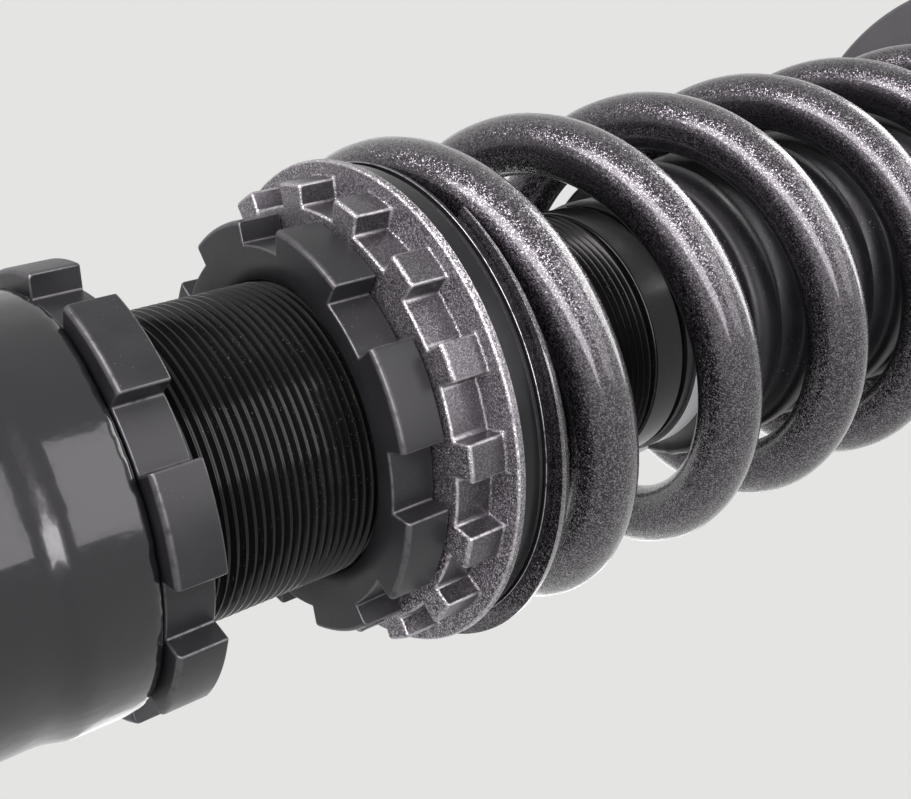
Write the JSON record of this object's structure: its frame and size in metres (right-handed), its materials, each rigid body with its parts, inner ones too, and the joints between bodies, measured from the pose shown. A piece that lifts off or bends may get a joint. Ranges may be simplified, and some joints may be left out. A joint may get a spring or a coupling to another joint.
{
  "type": "coilover",
  "caption": "Height-adjustable coilover strut: threaded damper body, castellated lock rings and spring perch, wound spring, dust boot and a plate mount on top.",
  "frame": {"origin": "centre of the lower bush sleeve's bolt bore", "axes": "+Z along the damper towards the upper mount, +Y along the lower bolt bore"},
  "size_m": [0.1128, 0.1128, 0.4523],
  "materials": {
    "cast_black": "gloss black paint over a cast surface",
    "plated_steel": "zinc plated steel",
    "rubber": "matt black rubber",
    "black_anodised": "satin black anodised",
    "gloss_black": "gloss black coated steel",
    "bare_aluminium": "turned aluminium",
    "brass": "turned brass",
    "bronze": "filled bronze",
    "grey_painted": "metallic dark grey over turned aluminium",
    "satin_steel": "satin turned steel",
    "black_plastic": "matt black moulded plastic",
    "spring_paint": "metallic dark grey under clear coat",
    "chrome": "hard chrome",
    "foam": "closed-cell foam",
    "boot_rubber": "semi-gloss moulded rubber",
    "black_steel": "blackened spring steel",
    "satin_aluminium": "satin machined aluminium",
    "zinc_yellow": "yellow zinc plated steel",
    "red_anodised": "red anodised"
  },
  "bodies": {
    "sleeve": {"bush_sleeve": "plated_steel"},
    "bracket": {"lower_bracket": "cast_black", "bracket_eye": "cast_black", "bush_shell": "plated_steel", "bush_rubber": "rubber"},
    "bracket_ring": {"bracket_lock_ring": "black_anodised"},
    "damper": {"damper_tube": "gloss_black", "base_cap": "bare_aluminium", "base_o_ring": "rubber", "gas_valve": "brass", "rod_guide": "bare_aluminium", "guide_o_ring": "rubber", "rod_bush": "bronze", "rod_seal": "rubber", "gland_nut": "gloss_black", "wiper_seal": "rubber", "dust_boot": "boot_rubber", "boot_clamp": "plated_steel"},
    "gas_piston": {"floating_piston": "bare_aluminium", "floating_piston_seal": "rubber"},
    "spring_seat": {"upper_race": "satin_steel", "bearing_seal": "rubber", "main_spring": "spring_paint"},
    "bearing_cage": {"needle_cage": "black_plastic", "needle_rollers": "satin_steel"},
    "perch": {"spring_perch": "grey_painted", "lower_race": "satin_steel"},
    "perch_ring": {"perch_lock_ring": "black_anodised"},
    "rod": {"piston_rod": "chrome", "piston": "bare_aluminium", "piston_band": "bronze", "compression_shims": "satin_steel", "rebound_shims": "satin_steel", "piston_nut": "plated_steel", "stop_ring": "satin_steel", "top_out_bumper": "foam", "bump_stop": "foam", "bump_cup": "plated_steel", "upper_seat": "black_anodised", "ball_spacer": "plated_steel", "bearing_ball": "chrome", "rod_washer": "plated_steel", "rod_nut": "plated_steel"},
    "top_mount": {"top_plate": "satin_aluminium", "bearing_race": "satin_steel", "retaining_ring": "black_steel", "mount_studs": "zinc_yellow"},
    "adjuster": {"rebound_knob": "red_anodised", "metering_rod": "satin_steel"}
  },
  "joints": [
    {"name": "lower_pivot", "type": "hinge", "parent": "sleeve", "child": "bracket", "pos_m": [0, 0, 0], "axis": [0, 1, 0], "range_deg": [-10, 10], "stiffness_Nm_per_rad": 150},
    {"name": "bracket_ring_turn", "type": "hinge", "parent": "bracket", "child": "bracket_ring", "pos_m": [0, 0, 0.1362], "axis": [0, 0, 1], "range_deg": [0, 90]},
    {"name": "ride_height", "type": "slide", "parent": "bracket", "child": "damper", "axis": [0, 0, 1], "range_m": [-0.008, 0.02]},
    {"name": "gas_piston_travel", "type": "slide", "parent": "damper", "child": "gas_piston", "axis": [0, 0, 1], "range_m": [-0.0075, 0]},
    {"name": "preload", "type": "slide", "parent": "damper", "child": "spring_seat", "axis": [0, 0, 1], "range_m": [-0.012, 0]},
    {"name": "perch_turn", "type": "hinge", "parent": "spring_seat", "child": "perch", "pos_m": [0, 0, 0.18], "axis": [0, 0, 1], "range_deg": [-2900, 0]},
    {"name": "cage_turn", "type": "hinge", "parent": "spring_seat", "child": "bearing_cage", "pos_m": [0, 0, 0.19], "axis": [0, 0, 1], "range_deg": [-1450, 0]},
    {"name": "perch_ring_turn", "type": "hinge", "parent": "spring_seat", "child": "perch_ring", "pos_m": [0, 0, 0.174], "axis": [0, 0, 1], "range_deg": [-90, 0]},
    {"name": "damper_stroke", "type": "slide", "parent": "damper", "child": "rod", "axis": [0, 0, 1], "range_m": [-0.058, 0], "stiffness_N_per_m": 50000, "springref_m": 0.003, "deforming": ["main_spring", "dust_boot"]},
    {"name": "top_swivel", "type": "hinge", "parent": "rod", "child": "top_mount", "pos_m": [0, 0, 0.392], "axis": [0, 1, 0], "range_deg": [-4.5, 4.5]},
    {"name": "rebound_adjust", "type": "hinge", "parent": "rod", "child": "adjuster", "pos_m": [0, 0, 0.42], "axis": [0, 0, 1], "range_deg": [0, 720]}
  ],
  "couplings": [
    {"joint": "gas_piston_travel", "follows": "damper_stroke", "ratio": 0.1225},
    {"joint": "perch_turn", "follows": "preload", "rad_per_m": 4188.8},
    {"joint": "cage_turn", "follows": "preload", "rad_per_m": 2094.4}
  ]
}
